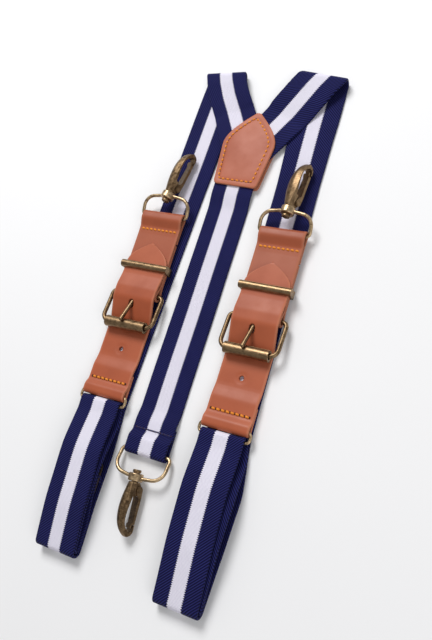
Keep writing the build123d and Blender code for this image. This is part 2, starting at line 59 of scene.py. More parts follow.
# Suspenders laid flat: +X right, +Y up the back strap, +Z up. Lengths below are in
# millimetres and MM turns them into Blender's metres.
MM = 0.001
SIDES = {"left": -1, "right": 1}
HOOKS = ("left", "right", "back")

WEB_W, WEB_T = 25.4, 1.5
LEATHER_W, LEATHER_T = 27.2, 1.5
LAYER_GAP = 0.12


def box_mm(node):
    """Lowest and highest corner of a CAD node, in millimetres."""
    low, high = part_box(node)
    return low / MM, high / MM


def middle_mm(node):
    low, high = box_mm(node)
    return (low + high) / 2


# ------------------------------------------------------------------ shader helpers
def new_material(name):
    """A material with an empty tree, its Principled shader and its output."""
    made = bpy.data.materials.new(name)
    made.use_nodes = True
    tree = made.node_tree
    tree.nodes.clear()
    shader = tree.nodes.new("ShaderNodeBsdfPrincipled")
    out = tree.nodes.new("ShaderNodeOutputMaterial")
    tree.links.new(shader.outputs["BSDF"], out.inputs["Surface"])
    return made, tree, shader


def feed(tree, socket, value):
    """Sets a socket to a number or colour, or links another socket to it."""
    if isinstance(value, bpy.types.NodeSocket):
        tree.links.new(value, socket)
    else:
        socket.default_value = value


def maths(tree, operation, a, b=0.0, c=0.0, clamp=False):
    made = tree.nodes.new("ShaderNodeMath")
    made.operation = operation
    made.use_clamp = clamp
    for socket, value in zip(made.inputs, (a, b, c)):
        feed(tree, socket, value)
    return made.outputs[0]


def mix(tree, factor, a, b, blend="MIX"):
    made = tree.nodes.new("ShaderNodeMix")
    made.data_type = "RGBA"
    made.blend_type = blend
    feed(tree, made.inputs["Factor"], factor)
    feed(tree, made.inputs[6], a)
    feed(tree, made.inputs[7], b)
    return made.outputs[2]


def ramp(tree, factor, stops):
    """A colour ramp; stops are (position, colour)."""
    made = tree.nodes.new("ShaderNodeValToRGB")
    while len(made.color_ramp.elements) < len(stops):
        made.color_ramp.elements.new(0.5)
    for element, (position, colour) in zip(made.color_ramp.elements, stops):
        element.position = position
        element.color = colour
    feed(tree, made.inputs["Fac"], factor)
    return made.outputs["Color"]


def remap(tree, value, low, high, to_low, to_high):
    made = tree.nodes.new("ShaderNodeMapRange")
    for socket, number in zip(made.inputs, (value, low, high, to_low, to_high)):
        feed(tree, socket, number)
    return made.outputs[0]


def noise_of(tree, vector, scale, detail=3.0, roughness=0.5, distortion=0.0):
    made = tree.nodes.new("ShaderNodeTexNoise")
    feed(tree, made.inputs["Vector"], vector)
    feed(tree, made.inputs["Scale"], scale)
    feed(tree, made.inputs["Detail"], detail)
    feed(tree, made.inputs["Roughness"], roughness)
    feed(tree, made.inputs["Distortion"], distortion)
    return made.outputs["Fac"]


def cells_of(tree, vector, scale, feature="F1"):
    made = tree.nodes.new("ShaderNodeTexVoronoi")
    made.feature = feature
    feed(tree, made.inputs["Vector"], vector)
    feed(tree, made.inputs["Scale"], scale)
    return made.outputs["Distance"]


def bump(tree, height, distance, strength=1.0, normal=None):
    made = tree.nodes.new("ShaderNodeBump")
    feed(tree, made.inputs["Height"], height)
    feed(tree, made.inputs["Distance"], distance)
    feed(tree, made.inputs["Strength"], strength)
    if normal is not None:
        feed(tree, made.inputs["Normal"], normal)
    return made.outputs["Normal"]


def object_point(tree):
    return tree.nodes.new("ShaderNodeTexCoord").outputs["Object"]


def weave_point(tree):
    """(across, along) of a strap in millimetres, from its Weave map."""
    uv = tree.nodes.new("ShaderNodeUVMap")
    uv.uv_map = "Weave"
    split = tree.nodes.new("ShaderNodeSeparateXYZ")
    tree.links.new(uv.outputs["UV"], split.inputs[0])
    across = maths(tree, "MULTIPLY", split.outputs[0], 100.0)
    along = maths(tree, "MULTIPLY", split.outputs[1], 100.0)
    return across, along


def share_of(tree, name):
    made = tree.nodes.new("ShaderNodeAttribute")
    made.attribute_name = name
    return made.outputs["Fac"]


def srgb(r, g, b):
    """An sRGB colour, 0 to 255, as linear RGBA."""
    def linear(c):
        c /= 255
        return c / 12.92 if c <= 0.04045 else ((c + 0.055) / 1.055) ** 2.4
    return (linear(r), linear(g), linear(b), 1.0)


# ------------------------------------------------------------------ materials
NAVY_DARK = srgb(7, 7, 44)
NAVY = srgb(14, 14, 72)
NAVY_LIGHT = srgb(54, 58, 128)
STRIPE = srgb(254, 253, 255)
STRIPE_SHADE = srgb(220, 215, 236)
STRIPE_HALF = 3.9          # half the pale stripe's width
TWILL_PITCH = 1.6          # diagonal ribs of the navy weave, measured along the strap
CORD_PITCH = 0.75          # breaks across those ribs, on the other diagonal
RIB_PITCH = 0.58           # cross ribs of the pale stripe
KNIT_PITCH = 0.9           # lengthwise wales of the pale stripe
TOOTH_PITCH = 1.05         # saw-tooth steps along the stripe's edges
TOOTH = 0.8                # how far each step reaches


def wave_of(tree, value, pitch):
    """A sine of the given pitch, from 0 to 1."""
    turned = maths(tree, "MULTIPLY", value, 2 * math.pi / pitch)
    return maths(tree, "MULTIPLY_ADD", maths(tree, "SINE", turned), 0.5, 0.5)


def webbing_material():
    """Navy twill elastic with a pale centre stripe that has saw-tooth edges."""
    made, tree, shader = new_material("webbing_navy_stripe")
    across, along = weave_point(tree)
    off_centre = maths(tree, "ABSOLUTE", across)
    tooth = maths(tree, "PINGPONG", along, TOOTH_PITCH / 2)
    tooth = maths(tree, "MULTIPLY", tooth, 2 * TOOTH / TOOTH_PITCH)
    edge = maths(tree, "ADD", tooth, STRIPE_HALF - TOOTH / 2)
    gap = maths(tree, "SUBTRACT", edge, off_centre)
    stripe = remap(tree, gap, -0.08, 0.08, 0.0, 1.0)

    slant = maths(tree, "ADD", across, along)
    twill = wave_of(tree, slant, TWILL_PITCH)
    cord = wave_of(tree, maths(tree, "SUBTRACT", across, along), CORD_PITCH)
    rib = wave_of(tree, along, RIB_PITCH)
    knit = wave_of(tree, across, KNIT_PITCH)
    point = object_point(tree)
    fuzz = noise_of(tree, point, 5200.0, 2.0, 0.6)
    drift = noise_of(tree, point, 55.0, 2.0)

    crest = remap(tree, twill, 0.45, 0.95, 0.0, 1.0)
    navy = mix(tree, twill, NAVY_DARK, NAVY)
    thread = maths(tree, "MULTIPLY", crest, maths(tree, "MULTIPLY_ADD", cord, 0.6, 0.4))
    navy = mix(tree, maths(tree, "MULTIPLY", thread, 0.8), navy, NAVY_LIGHT)
    navy = mix(tree, remap(tree, drift, 0.3, 0.7, 0.0, 0.25), navy, NAVY_DARK)
    pale = mix(tree, maths(tree, "MULTIPLY", rib, 0.75), STRIPE_SHADE, STRIPE)
    pale = mix(tree, remap(tree, fuzz, 0.35, 0.75, 0.0, 0.45), pale, STRIPE_SHADE)
    tree.links.new(mix(tree, stripe, navy, pale), shader.inputs["Base Color"])

    navy_height = maths(tree, "MULTIPLY_ADD", cord, 0.35, twill)
    pale_height = maths(tree, "MULTIPLY_ADD", knit, 0.5, rib)
    height = maths(tree, "ADD",
                   maths(tree, "MULTIPLY", navy_height, maths(tree, "SUBTRACT", 1.0, stripe)),
                   maths(tree, "MULTIPLY", pale_height, stripe))
    height = maths(tree, "ADD", height, maths(tree, "MULTIPLY", fuzz, 0.6))
    tree.links.new(bump(tree, height, 0.00018, 0.8), shader.inputs["Normal"])
    tree.links.new(remap(tree, fuzz, 0.2, 0.8, 0.72, 0.9), shader.inputs["Roughness"])
    shader.inputs["Sheen Weight"].default_value = 0.04
    shader.inputs["Sheen Roughness"].default_value = 0.5
    shader.inputs["Specular IOR Level"].default_value = 0.12
    return made


LEATHER = srgb(170, 86, 54)
LEATHER_DEEP = srgb(146, 68, 40)
LEATHER_WARM = srgb(184, 102, 70)
LEATHER_EDGE = srgb(198, 120, 90)
LEATHER_SUEDE = srgb(176, 120, 90)


def leather_material(name, tone=1.0):
    """Smooth saddle leather: fine grain, soft mottling, pale cut edges and a suede back. A tone below 1
    darkens all of it as painted shade.
    """
    made, tree, shader = new_material(name)
    point = object_point(tree)
    mottle = noise_of(tree, point, 70.0, 4.0, 0.55)
    patchy = noise_of(tree, point, 22.0, 2.0)
    grain = cells_of(tree, point, 2600.0)
    pores = noise_of(tree, point, 3600.0, 3.0, 0.6)
    crease = noise_of(tree, point, 420.0, 5.0, 0.6, 0.8)
    edge, back = share_of(tree, "cut_edge"), share_of(tree, "flesh_side")

    top = mix(tree, remap(tree, mottle, 0.35, 0.7, 0.0, 0.5), LEATHER, LEATHER_DEEP)
    top = mix(tree, remap(tree, patchy, 0.4, 0.7, 0.0, 0.5), top, LEATHER_WARM)
    top = mix(tree, remap(tree, grain, 0.0, 0.35, 0.12, 0.0), top, LEATHER_DEEP)
    suede = mix(tree, remap(tree, pores, 0.3, 0.7, 0.0, 0.8), LEATHER_SUEDE, LEATHER_DEEP)
    colour = mix(tree, back, top, suede)
    edge_tone = mix(tree, remap(tree, crease, 0.3, 0.7, 0.0, 0.6), LEATHER_EDGE, LEATHER_SUEDE)
    colour = mix(tree, maths(tree, "MULTIPLY", edge, 0.85), colour, edge_tone)
    # painted shade: a tone below 1 darkens the whole leather evenly
    colour = mix(tree, 1.0, colour, (tone, tone, tone, 1.0), "MULTIPLY")
    tree.links.new(colour, shader.inputs["Base Color"])

    fine = maths(tree, "MULTIPLY", grain, 0.5)
    smooth = maths(tree, "ADD", fine, maths(tree, "MULTIPLY", crease, 0.5))
    rough_part = maths(tree, "MULTIPLY", pores, maths(tree, "MULTIPLY_ADD", back, 2.5, 0.35))
    height = maths(tree, "ADD", smooth, rough_part)
    tree.links.new(bump(tree, height, 0.00006, 0.45), shader.inputs["Normal"])
    rough = remap(tree, mottle, 0.3, 0.7, 0.4, 0.52)
    rough = maths(tree, "MULTIPLY_ADD", maths(tree, "MAXIMUM", edge, back), 0.35, rough, clamp=True)
    tree.links.new(rough, shader.inputs["Roughness"])
    shader.inputs["Specular IOR Level"].default_value = 0.34
    return made


def metal_material(name, bright, base, patina, dark_share=0.5, rough=(0.22, 0.5)):
    """Antique-plated metal: dark patina in blotches and specks, rubbed bright on sharp edges."""
    made, tree, shader = new_material(name)
    point = object_point(tree)
    blotch = noise_of(tree, point, 420.0, 4.0, 0.6, 0.5)
    speck = noise_of(tree, point, 2600.0, 3.0, 0.7)
    brushed = tree.nodes.new("ShaderNodeMapping")
    tree.links.new(point, brushed.inputs["Vector"])
    brushed.inputs["Scale"].default_value = (0.25, 1.0, 1.0)
    streak = noise_of(tree, brushed.outputs[0], 1800.0, 2.0, 0.6)
    geometry = tree.nodes.new("ShaderNodeNewGeometry")
    worn = remap(tree, geometry.outputs["Pointiness"], 0.49, 0.56, 0.0, 1.0)
    tone = maths(tree, "MULTIPLY_ADD", streak, 0.45, maths(tree, "MULTIPLY", blotch, 0.75))
    colour = ramp(tree, tone, [(0.36, patina), (0.36 + 0.22 * dark_share, base), (0.78, bright)])
    colour = mix(tree, maths(tree, "MULTIPLY", worn, 0.55), colour, bright)
    colour = mix(tree, remap(tree, speck, 0.62, 0.72, 0.0, 0.5), colour, patina)
    tree.links.new(colour, shader.inputs["Base Color"])
    tree.links.new(remap(tree, blotch, 0.3, 0.7, *rough), shader.inputs["Roughness"])
    height = maths(tree, "MULTIPLY_ADD", speck, 0.5, streak)
    tree.links.new(bump(tree, height, 0.00004, 0.35), shader.inputs["Normal"])
    shader.inputs["Metallic"].default_value = 1.0
    return made


def thread_material(name, light, dark):
    """Waxed sewing thread with a fine twist."""
    made, tree, shader = new_material(name)
    point = object_point(tree)
    twist = tree.nodes.new("ShaderNodeTexWave")
    twist.bands_direction = "DIAGONAL"
    feed(tree, twist.inputs["Vector"], point)
    feed(tree, twist.inputs["Scale"], 1500.0)
    feed(tree, twist.inputs["Distortion"], 1.0)
    fuzz = noise_of(tree, point, 2400.0, 3.0)
    colour = mix(tree, twist.outputs["Fac"], dark, light)
    colour = mix(tree, remap(tree, fuzz, 0.4, 0.7, 0.0, 0.35), colour, dark)
    tree.links.new(colour, shader.inputs["Base Color"])
    tree.links.new(bump(tree, twist.outputs["Fac"], 0.00008, 0.6), shader.inputs["Normal"])
    tree.links.new(remap(tree, fuzz, 0.3, 0.7, 0.5, 0.7), shader.inputs["Roughness"])
    return made


def hole_shade_material():
    """Painted shade for the inside of a needle hole: a dark brown that stands for the shadow in the
    hole.
    """
    made, tree, shader = new_material("needle_hole_painted_shade")
    shade = noise_of(tree, object_point(tree), 3000.0)
    tree.links.new(mix(tree, shade, srgb(40, 20, 12), srgb(80, 40, 26)), shader.inputs["Base Color"])
    shader.inputs["Roughness"].default_value = 0.95
    return made


MAT = {
    "webbing": webbing_material(),
    "leather": leather_material("leather_saddle_tan"),
    # a darker copy of the leather for the upper leather: painted shade, so the lower leather's tip
    # stands out where it lies on it
    "leather_painted_shade": leather_material("leather_saddle_tan_painted_shade", 0.84),
    "brass": metal_material("antique_brass", srgb(158, 132, 100), srgb(88, 68, 48),
                            srgb(32, 24, 19), 0.62, (0.28, 0.52)),
    "ring": metal_material("ring_brass", srgb(214, 188, 150), srgb(134, 108, 78),
                           srgb(52, 40, 29), 0.35),
    "steel": metal_material("spring_steel", srgb(200, 200, 200), srgb(150, 150, 150),
                            srgb(80, 80, 80), 0.3),
    "dark": metal_material("dark_bronze", srgb(70, 58, 46), srgb(36, 30, 26), srgb(16, 14, 13)),
    "orange": thread_material("orange_thread", srgb(250, 166, 44), srgb(214, 112, 12)),
    "navy_thread": thread_material("navy_thread", srgb(40, 42, 104), srgb(14, 14, 50)),
    # the needle-hole dimples are coloured with painted shade
    "hole": hole_shade_material(),
}


# ------------------------------------------------------------------ mesh helpers
def rounded_path(points, radii, step=1.5, arc_step=9.0):
    """Points along straight runs joined by arcs, from 3-D corners in millimetres."""
    points = [Vector(p) for p in points]
    line = [points[0]]
    for i in range(1, len(points) - 1):
        here = points[i]
        back = (points[i - 1] - here).normalized()
        on = (points[i + 1] - here).normalized()
        turn = math.pi - back.angle(on)
        if turn < 1e-4 or radii[i - 1] <= 0:
            line.append(here)
            continue
        reach = radii[i - 1] * math.tan(turn / 2)
        bisector = (back + on).normalized()
        centre = here + bisector * (radii[i - 1] / math.cos(turn / 2))
        start = here + back * reach - centre
        count = max(2, math.ceil(math.degrees(turn) / arc_step))
        axis = start.cross(here + on * reach - centre)
        if axis.length < 1e-9:
            axis = back.cross(on)
        for k in range(count + 1):
            line.append(centre + Matrix.Rotation(turn * k / count, 3, axis) @ start)
    line.append(points[-1])
    dense = [line[0]]
    for a, b in zip(line, line[1:]):
        pieces = max(1, math.ceil((b - a).length / step))
        dense += [a.lerp(b, (k + 1) / pieces) for k in range(pieces)]
    return [p for k, p in enumerate(dense) if k == 0 or (p - dense[k - 1]).length > 1e-4]


def stations_of(line, width_at=None, across_hint=None):
    """(centre, across, normal, distance, half width share) along a path. A hint gives a line
    that the cross-sections follow, such as a slanted fold, and how much they do."""
    stations, distance = [], 0.0
    for i, here in enumerate(line):
        ahead = line[min(i + 1, len(line) - 1)]
        behind = line[max(i - 1, 0)]
        tangent = (ahead - behind).normalized()
        square = (Vector((1, 0, 0)) - tangent * tangent.x).normalized()
        across = square
        if across_hint:
            hint, weight = across_hint(here)
            skewed = hint / max(0.5, (hint - tangent * tangent.dot(hint)).length)
            across = square.lerp(skewed, weight)
        normal = across.cross(tangent).normalized()
        if i:
            distance += (here - line[i - 1]).length
        share = width_at(distance, here) if width_at else 1.0
        stations.append((here, across, normal, distance, share))
    return stations


def band_section(half, thickness, corner, columns):
    """Loop of (across, up, cut edge, flesh side) round a band with rounded corners."""
    top = thickness / 2
    loop = []
    for k in range(columns + 1):
        a = -half + corner + (2 * half - 2 * corner) * k / columns
        near = 1.0 if k in (0, columns) else 0.0
        loop.append((a, top, near * 0.6, 0.0))
    arcs = 3
    for k in range(1, arcs):
        turn = math.pi / 2 * k / arcs
        out, rise = corner * math.sin(turn), corner * math.cos(turn)
        loop.append((half - corner + out, top - corner + rise, 1.0, 0.0))
    loop.append((half, top - corner, 1.0, 0.0))
    loop.append((half, corner - top, 1.0, 0.5))
    for k in range(1, arcs):
        turn = math.pi / 2 * k / arcs
        out, drop = corner * math.cos(turn), corner * math.sin(turn)
        loop.append((half - corner + out, corner - top - drop, 1.0, 1.0))
    mirrored = [(-a, -n, e, 1.0 - f) for a, n, e, f in loop]
    return loop + mirrored


def object_from(name, bm, material, smooth=True):
    """Links a finished bmesh, given in millimetres, as an object in metres."""
    bmesh.ops.recalc_face_normals(bm, faces=bm.faces)
    bm.transform(Matrix.Scale(MM, 4))
    mesh = bpy.data.meshes.new(name)
    bm.to_mesh(mesh)
    bm.free()
    made = bpy.data.objects.new(name, mesh)
    bpy.context.scene.collection.objects.link(made)
    for m in material if isinstance(material, (list, tuple)) else [material]:
        mesh.materials.append(m)
    if smooth:
        mesh.shade_smooth()
    return made


def band(name, stations, section, material, shape=None):
    """A strap: the section swept through the stations, with end caps, a Weave map and marks."""
    bm = bmesh.new()
    cut = bm.verts.layers.float.new("cut_edge")
    flesh = bm.verts.layers.float.new("flesh_side")
    weave = bm.loops.layers.uv.new("Weave")
    rows, place = [], {}
    for centre, across, normal, distance, share in stations:
        row = []
        for a, n, edge, side in section:
            at = centre + across * (a * share) + normal * n
            if shape:
                at = shape(at, a * share, n, distance, normal)
            vert = bm.verts.new(at)
            vert[cut], vert[flesh] = edge, side
            place[vert] = (a * share / 100, distance / 100)
            row.append(vert)
        rows.append(row)
    count = len(section)
    for low, high in zip(rows, rows[1:]):
        for k in range(count):
            bm.faces.new((low[k], low[(k + 1) % count], high[(k + 1) % count], high[k]))
    bm.faces.new(list(reversed(rows[0])))
    bm.faces.new(rows[-1])
    for face in bm.faces:
        for loop in face.loops:
            loop[weave].uv = place[loop.vert]
    return object_from(name, bm, material)


def finished(piece, body, slot_name, *nodes):
    """Rides a new piece on its body and hides the CAD nodes that it stands for. Its slot name is not
    used.
    """
    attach(piece, body)
    if nodes:
        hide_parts(*nodes)
    return piece


def length_of(line):
    return sum((b - a).length for a, b in zip(line, line[1:]))


# ------------------------------------------------------------------ webbing straps
RING_WIRE_R = 0.8
WRAP_GAP = 0.3
DRING_WIRE_R = 1.0
SLIDER_BAR_R = 0.7
BEND_TOP_Z = 6.6
LOOP_TOP_Z = 10.8
PATCH_LAYER_Z = LEATHER_T + 0.1 + WEB_T / 2
Y_RUN_Z = 2 * WEB_T + 3.6
# the folded top edge: its middle, its tilt in degrees, and how much wider the strap lies there
TOP_FOLDS = {
    "left": ((-28.9, 148.6), 5.3, 1.0),
    "right": ((35.2, 149.6), -8.4, 1.1),
}
# the diagonal runs from the top fold to the patch: (x, y, z, corner radius)
Y_RUNS = {
    "left": [
        (-26.4, 141.0, 6.0, 14.0), (-22.6, 132.6, 4.4, 30.0),
        (-16.6, 122.4, 2.35, 20.0), (-3.0, 99.0, 2.35, 0),
    ],
    "right": [
        (30.2, 141.4, 6.0, 14.0), (23.3, 130.3, 4.1, 30.0),
        (17.6, 121.6, 2.35, 20.0), (3.9, 99.4, 2.35, 0),
    ],
}
# sideways drift of the loop's layers: (y, outer layer on top, layers underneath)
LOOP_DRIFT = {
    "left": [(-64.0, 0.0, 1.4), (-94.0, 1.0, 2.9), (-122.0, 2.3, 2.3), (-152.0, 2.6, 2.4)],
    "right": [(-64.0, 0.0, 1.6), (-90.0, 0.6, 5.2), (-120.0, 1.7, 4.2), (-156.0, 2.2, 2.4)],
}


def drifted(side, y, layer):
    """Sideways drift of one layer (1 outer, 2 underneath) of a loop at a place along it."""
    rows = LOOP_DRIFT[side]
    if y >= rows[0][0]:
        return rows[0][layer]
    for high, low in zip(rows, rows[1:]):
        if y >= low[0]:
            share = (high[0] - y) / (high[0] - low[0])
            return high[layer] + (low[layer] - high[layer]) * share
    return rows[-1][layer]


def front_route(side):
    """The whole route of one front strap, from its sewn tail to the patch."""
    strap_low = box_mm(side + "_front_strap")[0]
    ring_low, ring_high = box_mm(side + "_lower_ring")
    slider = middle_mm(side + "_slider")
    x = (ring_low.x + ring_high.x) / 2
    half = WEB_T / 2
    inner_y, outer_y = strap_low.y + 2 * WEB_T + LAYER_GAP, strap_low.y + half
    tail_y, tail_z = ring_low.y + RING_WIRE_R, (ring_low.z + ring_high.z) / 2
    wrap = SLIDER_BAR_R + 0.25 + half
    tail = RING_WIRE_R + WRAP_GAP + half
    low_inner = half + WEB_T + LAYER_GAP
    # (y, z, corner radius, layer: 0 at the ring, 1 outer, 2 underneath)
    flat = [
        (slider.y - 2.4, slider.z - wrap, 0, 1),
        (slider.y + wrap, slider.z - wrap, wrap - 0.02, 1),
        (slider.y + wrap, slider.z + wrap, wrap - 0.02, 1),
        (slider.y - 3.0, slider.z + wrap, 2.0, 1),
        (slider.y - 8.0, slider.z + wrap, 2.0, 1),
        (slider.y - 12.0, slider.z + wrap - 0.6, 3.0, 1),
        (slider.y - 24.0, low_inner, 3.0, 1),
        (inner_y, low_inner, 1.25, 2),
        (inner_y, BEND_TOP_Z - WEB_T - LAYER_GAP, 1.25, 2),
        (slider.y - 14.0, LOOP_TOP_Z - WEB_T - 0.4, 40.0, 2),
        (slider.y + 10.0, LOOP_TOP_Z - WEB_T - 0.5, 40.0, 2),
        (tail_y - 10.0, tail_z - tail, 10.0, 2),
        (tail_y + tail, tail_z - tail, tail - 0.02, 0),
        (tail_y + tail, tail_z + tail, tail - 0.02, 0),
        (tail_y - 6.0, tail_z + tail, 12.0, 1),
        (slider.y + 14.0, LOOP_TOP_Z, 50.0, 1),
        (slider.y - 16.0, LOOP_TOP_Z, 50.0, 1),
        (outer_y, BEND_TOP_Z, 2.8, 1),
        (outer_y, half, 2.9, 1),
        (slider.y - 14.0, half, 30.0, 2),
        (slider.y + 14.0, half, 30.0, 2),
    ]
    corners = [(x + (drifted(side, y, layer) if layer else 0.0), y, z) for y, z, _, layer in flat]
    radii = [r for _, _, r, _ in flat[1:]]
    fold_x, fold_y = TOP_FOLDS[side][0]
    fold = Vector((fold_x, fold_y - half, 0))
    turn_r = (Y_RUN_Z - half) / 2
    corners += [
        (x + drifted(side, -64.0, 2), slider.y + 40.0, half),
        fold + Vector((0, 0, half)),
        fold + Vector((0, 0, Y_RUN_Z)),
    ]
    corners += [(cx, cy, cz) for cx, cy, cz, _ in Y_RUNS[side]]
    radii += [80.0, turn_r - 0.02, turn_r - 0.02]
    radii += [r for _, _, _, r in Y_RUNS[side][:-1]]
    return rounded_path(corners, radii)


def fold_hint(side):
    """Sections follow the tilted fold at the top edge, and are square to the strap elsewhere."""
    tilt = math.radians(TOP_FOLDS[side][1])
    tilted = Vector((math.cos(tilt), math.sin(tilt), 0))
    edge_y = TOP_FOLDS[side][0][1]

    def hint(here):
        rise = min(max((here.y - (edge_y - 16.0)) / 9.0, 0.0), 1.0)
        return tilted, rise * rise * (3 - 2 * rise)
    return hint


def fold_width(side):
    """Half-width share: the right strap lies a little wider from its fold to the patch."""
    wide = TOP_FOLDS[side][2]

    def share(distance, here):
        rise = min(max((here.y - 80.0) / 40.0, 0.0), 1.0)
        return 1.0 + (wide - 1.0) * rise
    return share


def webbing_shape(seed):
    """Slight waviness, sideways and up and down, which soft elastic has."""
    def shaped(at, a, n, distance, normal):
        wobble = noise.noise(Vector((distance / 34, a / 30, seed)))
        sway = noise.noise(Vector((distance / 40, seed, 3.0)))
        return at + Vector((0.25 * sway, 0, 0)) + normal * (0.05 * wobble)
    return shaped


WEB_SECTION = band_section(WEB_W / 2, WEB_T, 0.55, 10)


def cut_on_centre(piece, sign):
    """Cuts a diagonal run along the patch's middle line, where the two straps meet."""
    middle = sign * 0.1
    bm = bmesh.new()
    bm.from_mesh(piece.data)
    geometry = bm.verts[:] + bm.edges[:] + bm.faces[:]
    cut = bmesh.ops.bisect_plane(bm, geom=geometry, plane_co=(middle * MM, 0, 0),
                                 plane_no=(-sign, 0, 0), clear_outer=True)
    rim = [e for e in cut["geom_cut"] if isinstance(e, bmesh.types.BMEdge)]
    bmesh.ops.holes_fill(bm, edges=rim, sides=0)
    bm.to_mesh(piece.data)
    bm.free()


def make_webbing():
    """The two front straps and the back strap."""
    for side, sign in SIDES.items():
        line = front_route(side)
        stations = stations_of(line, fold_width(side), fold_hint(side))
        strap = band(side + "_front_webbing", stations, WEB_SECTION, MAT["webbing"],
                     webbing_shape(sign + 2.0))
        cut_on_centre(strap, sign)
        finished(strap, "webbing", "webbing", side + "_front_strap")
    line = back_route()
    strap = band("back_webbing", stations_of(line), WEB_SECTION, MAT["webbing"], webbing_shape(9.0))
    finished(strap, "webbing", "webbing", "back_strap")


def back_route():
    """From inside the patch, down the middle, round the D-ring and back under."""
    low, high = box_mm("back_strap")
    dee_low = box_mm("back_d_ring")[0]
    top_x, low_x = -1.3, -2.3
    wrap = DRING_WIRE_R + WRAP_GAP + WEB_T / 2
    bar_y, bar_z = low.y + WEB_T / 2 + wrap, dee_low.z + DRING_WIRE_R
    half = WEB_T / 2
    raised = half + WEB_T + LAYER_GAP
    flat = [
        (top_x, high.y, PATCH_LAYER_Z, 0), (top_x, 68.0, PATCH_LAYER_Z, 14.0), (top_x, 60.0, half, 14.0),
        (low_x, -63.0, half, 8.0), (low_x, -69.5, raised, 8.0), (low_x, -76.4, raised + 0.1, 3.0),
        (low_x, -80.0, bar_z + wrap + 0.2, 3.0), (low_x, bar_y - wrap, bar_z + wrap, wrap - 0.02),
        (low_x, bar_y - wrap, bar_z - wrap, wrap - 0.02), (low_x, -71.5, half, 0),
    ]
    return rounded_path([(x, y, z) for x, y, z, _ in flat], [r for _, _, _, r in flat[1:-1]])


make_webbing()


# ------------------------------------------------------------------ leather tabs
RING_Z = 4.5
BUCKLE_BAR_R = 1.25
BUCKLE_GAP = 0.2
BUCKLE_BAR = (-1.5, 4.7)       # y and z of the buckle's bar
DRING_BAR = (47.8, 4.9)        # y and z of the D-ring's bar
UPPER_LOW_Z = 2.6              # underside of the doubled upper leather
UPPER_TOP_Z = 5.6              # its top face
LEATHER_CORNER = 0.38          # rounding of the cut edges
TIP_LENGTH = 13.5
TIP_LIFT = 0.45                # gap between the tip and the upper leather
UNDER_LENGTH = 20              # sewn tail underneath, which gets no pressed rims
SPARE_HOLES_Y = (-35.3, -22.3)
SPARE_HOLE_R = 1.4
PRONG_SLANT = -1.5
PRONG_SLOT_Y = -8.75           # middle of the slot that the prong comes through
PRONG_SLOT_R = 1.7
PRONG_SLOT_STRETCH = 2.35 / 1.7
EYE_SLOT_R = 2.3               # room for the prong's eye in the upper leather


def boolean_cut(piece, cutters):
    """Cuts holes through a piece and removes the cutters."""
    for cutter in cutters:
        step = piece.modifiers.new("cut", "BOOLEAN")
        step.operation = "DIFFERENCE"
        step.solver = "EXACT"
        step.object = cutter
        bpy.context.view_layer.objects.active = piece
        bpy.ops.object.modifier_apply(modifier=step.name)
        bpy.data.objects.remove(cutter)


def punch(x, y, z, radius, height, stretch=1.0):
    """A round or long cutter standing on +Z, in millimetres."""
    bm = bmesh.new()
    bmesh.ops.create_cone(bm, cap_ends=True, segments=28, radius1=radius, radius2=radius, depth=height)
    for v in bm.verts:
        if abs(v.co.y) > 1e-6:
            v.co.y += math.copysign((stretch - 1.0) * radius, v.co.y)
        v.co += Vector((x, y, z))
    return object_from("cutter", bm, MAT["leather"], smooth=False)


def tab_line(x, corners, step):
    """The path of one leather strip, from its (y, z, corner radius) rows."""
    points = [(x, y, z) for y, z, _ in corners]
    return rounded_path(points, [r for _, _, r in corners[1:-1]], step=step)


def tip_share(total):
    """Half-width share of the lower leather: full, then an arched tip."""
    def share(distance, here):
        left = total - distance
        if left >= TIP_LENGTH:
            return 1.0
        return max(0.02, (1 - (1 - left / TIP_LENGTH) ** 2) ** 1.05)
    return share


def lower_leather(side):
    """The strap with the adjusting holes, from its sewn tail round the ring to the tip."""
    low, high = box_mm(side + "_lower_leather")
    ring_low, ring_high = box_mm(side + "_lower_ring")
    x = (low.x + high.x) / 2
    wrap = RING_WIRE_R + WRAP_GAP + LEATHER_T / 2
    bar_y = ring_high.y - RING_WIRE_R
    flat_z = RING_Z - wrap
    doubled = flat_z + LEATHER_T + LAYER_GAP
    over = high.z - LEATHER_T / 2
    on_upper = UPPER_TOP_Z + TIP_LIFT + LEATHER_T / 2
    corners = [
        (-49.0, flat_z, 0), (bar_y - wrap, flat_z, wrap - 0.02),
        (bar_y - wrap, RING_Z + wrap, wrap - 0.02), (-59.5, RING_Z + wrap, 2.6),
        (-56.0, doubled, 4.0), (-47.0, doubled, 8.0), (-41.0, flat_z, 14.0),
        (-19.0, flat_z, 9.0), (-5.2, over, 6.0), (1.2, over, 7.0),
        (9.0, on_upper, 9.0), (high.y, on_upper, 0),
    ]
    line = tab_line(x, corners, 0.9)
    total = length_of(line)

    def pressed(at, a, n, distance, normal):
        sink = 0.0
        if n > 0 and distance > UNDER_LENGTH:
            for hole_y in SPARE_HOLES_Y:
                away = math.hypot(at.x - x, at.y - hole_y)
                sink += 0.34 * math.exp(-((away - 2.2) / 0.8) ** 2)
        droop = 0.12 * (abs(a) / (LEATHER_W / 2)) ** 4
        return at - normal * sink - normal * droop

    section = band_section(LEATHER_W / 2, LEATHER_T, LEATHER_CORNER, 26)
    stations = stations_of(line, tip_share(total))
    piece = band(side + "_tab_strap", stations, section, MAT["leather"], pressed)
    holes = [punch(x, y, flat_z, SPARE_HOLE_R, 4.0) for y in SPARE_HOLES_Y]
    slot_x = x + 0.4 * PRONG_SLANT
    holes.append(punch(slot_x, PRONG_SLOT_Y, over - 1.5, PRONG_SLOT_R, 12.0, PRONG_SLOT_STRETCH))
    boolean_cut(piece, holes)
    return finished(piece, side + "_tab", "leather", side + "_lower_leather")


